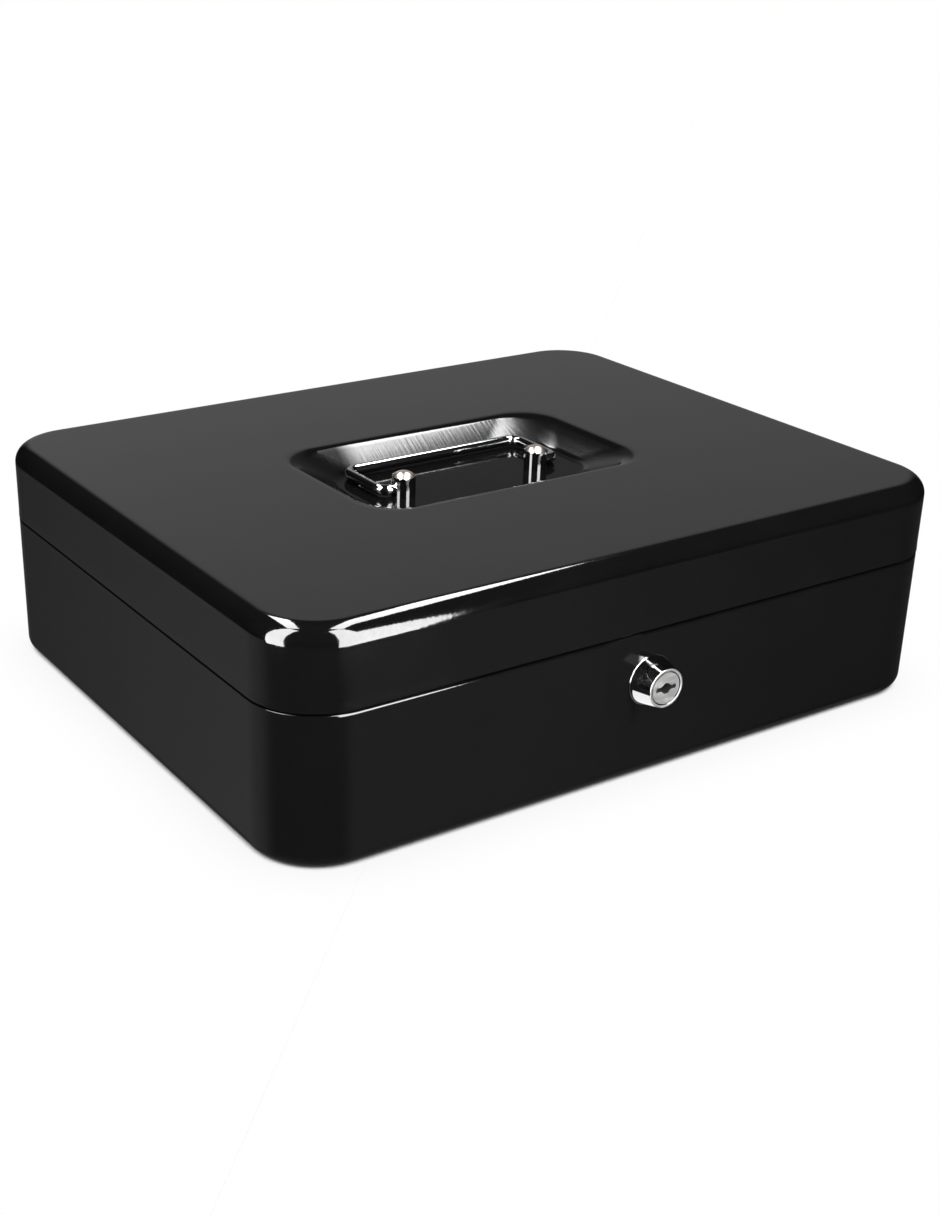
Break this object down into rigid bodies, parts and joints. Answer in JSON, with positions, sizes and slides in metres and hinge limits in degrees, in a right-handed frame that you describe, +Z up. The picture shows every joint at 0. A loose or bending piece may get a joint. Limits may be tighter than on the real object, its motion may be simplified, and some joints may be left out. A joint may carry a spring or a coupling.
{
  "type": "cash box",
  "caption": "Lockable sheet steel cash box with a hinged lid, a wire bail handle in a dished recess, a cam lock and a lift-out coin tray.",
  "frame": {"origin": "middle of the flat face that the base stands on", "axes": "+X along the length, to the right seen from the lock; +Y to the hinges; +Z up"},
  "size_m": [0.3008, 0.2552, 0.0893],
  "materials": {
    "black_enamel": "gloss black enamel",
    "chrome": "polished chrome plate",
    "zinc_steel": "zinc plated steel",
    "lock_nickel": "satin nickel plate",
    "wafer_brass": "stamped brass",
    "spring_steel": "drawn steel wire",
    "tray_plastic": "fine moulded grain"
  },
  "bodies": {
    "base": {"base_shell": "black_enamel", "base_hinge_leaf_left": "black_enamel", "base_hinge_leaf_right": "black_enamel", "hinge_pin_left": "zinc_steel", "hinge_pin_right": "zinc_steel", "coin_tray": "tray_plastic", "lock_housing": "chrome", "lock_washer": "zinc_steel", "lock_nut": "zinc_steel"},
    "lid": {"lid_shell": "black_enamel", "lid_catch": "zinc_steel", "lid_hinge_leaf_left": "black_enamel", "lid_hinge_leaf_right": "black_enamel", "handle_post_left": "chrome", "handle_post_right": "chrome", "post_washer_left": "zinc_steel", "post_washer_right": "zinc_steel"},
    "handle": {"handle_bail": "chrome"},
    "lock_core": {"lock_plug": "lock_nickel", "wafer_tumblers": "wafer_brass", "wafer_springs": "spring_steel", "lock_cam": "zinc_steel", "cam_washer": "zinc_steel", "cam_screw": "zinc_steel"}
  },
  "joints": [
    {"name": "lid_hinge", "type": "hinge", "parent": "base", "child": "lid", "pos_m": [0, 0.1235, 0.0576], "axis": [-1, 0, 0], "range_deg": [0, 105]},
    {"name": "handle_pivot", "type": "hinge", "parent": "lid", "child": "handle", "pos_m": [0, -0.0057, 0.0826], "axis": [1, 0, 0], "range_deg": [0, 168]},
    {"name": "lock_turn", "type": "hinge", "parent": "base", "child": "lock_core", "pos_m": [0, -0.12, 0.0384], "axis": [0, 1, 0], "range_deg": [0, 90]}
  ]
}
